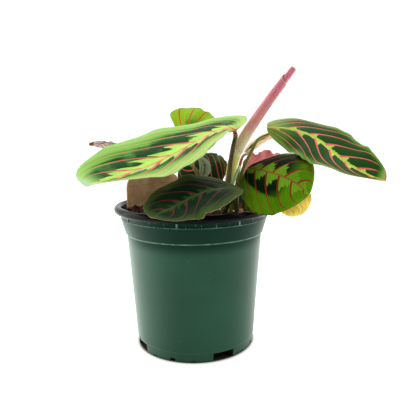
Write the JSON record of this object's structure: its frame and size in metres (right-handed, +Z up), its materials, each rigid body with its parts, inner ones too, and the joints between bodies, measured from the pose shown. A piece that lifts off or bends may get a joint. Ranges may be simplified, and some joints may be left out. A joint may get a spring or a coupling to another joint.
{
  "type": "potted prayer plant",
  "caption": "Small broad-leaved foliage plant with veined leaves on thin stalks, a rolled new leaf, sheaths, soil and a card tag in a round tapered nursery pot.",
  "frame": {"origin": "on the pot's axis, level with the surface that the pot stands on", "axes": "+Z up along the pot's axis, the plant's front faces -Y, +X to the right as seen from the front"},
  "size_m": [0.1983, 0.1257, 0.1892],
  "materials": {
    "pot": "semi-gloss dark green moulded plastic",
    "soil": "loose damp potting mix with bark",
    "card": "matt kraft card",
    "pink_roll": "smooth waxy leaf underside",
    "pale_sheath": "smooth plant tissue",
    "green_sheath": "smooth plant tissue",
    "mint_leaf": "satin leaf with red veins",
    "dark_leaf": "satin leaf with red veins",
    "glossy_leaf": "glossy leaf with red veins",
    "shaded_leaf": "satin leaf with red veins",
    "lime_leaf": "thin leaf lit from behind",
    "back_leaf": "satin leaf with red veins",
    "pink_leaf": "smooth pink leaf underside",
    "yellow_leaf": "fading leaf with orange veins",
    "young_leaf": "pale young leaf with red marks",
    "dry_leaf": "papery dry leaf",
    "pale_leaf": "pale small leaf",
    "brown_stalk": "smooth brown stalk",
    "olive_stalk": "smooth olive stalk",
    "green_stalk": "smooth green stalk"
  },
  "bodies": {
    "root": {"pot": "pot", "soil": "soil", "plant_tag": "card", "rolled_leaf": "pink_roll", "stem_sheath": "pale_sheath", "side_sheath": "green_sheath", "left_leaf": "mint_leaf", "right_leaf": "dark_leaf", "front_leaf": "glossy_leaf", "low_leaf": "shaded_leaf", "lime_leaf": "lime_leaf", "back_leaf": "back_leaf", "pink_leaf": "pink_leaf", "yellow_leaf": "yellow_leaf", "young_leaf": "young_leaf", "dry_leaf": "dry_leaf", "small_leaf": "pale_leaf", "left_leaf_stalk": "brown_stalk", "right_leaf_stalk": "olive_stalk", "front_leaf_stalk": "olive_stalk", "low_leaf_stalk": "green_stalk", "lime_leaf_stalk": "olive_stalk", "back_leaf_stalk": "olive_stalk", "pink_leaf_stalk": "brown_stalk", "yellow_leaf_stalk": "olive_stalk", "young_leaf_stalk": "brown_stalk", "dry_leaf_stalk": "brown_stalk"}
  },
  "joints": []
}
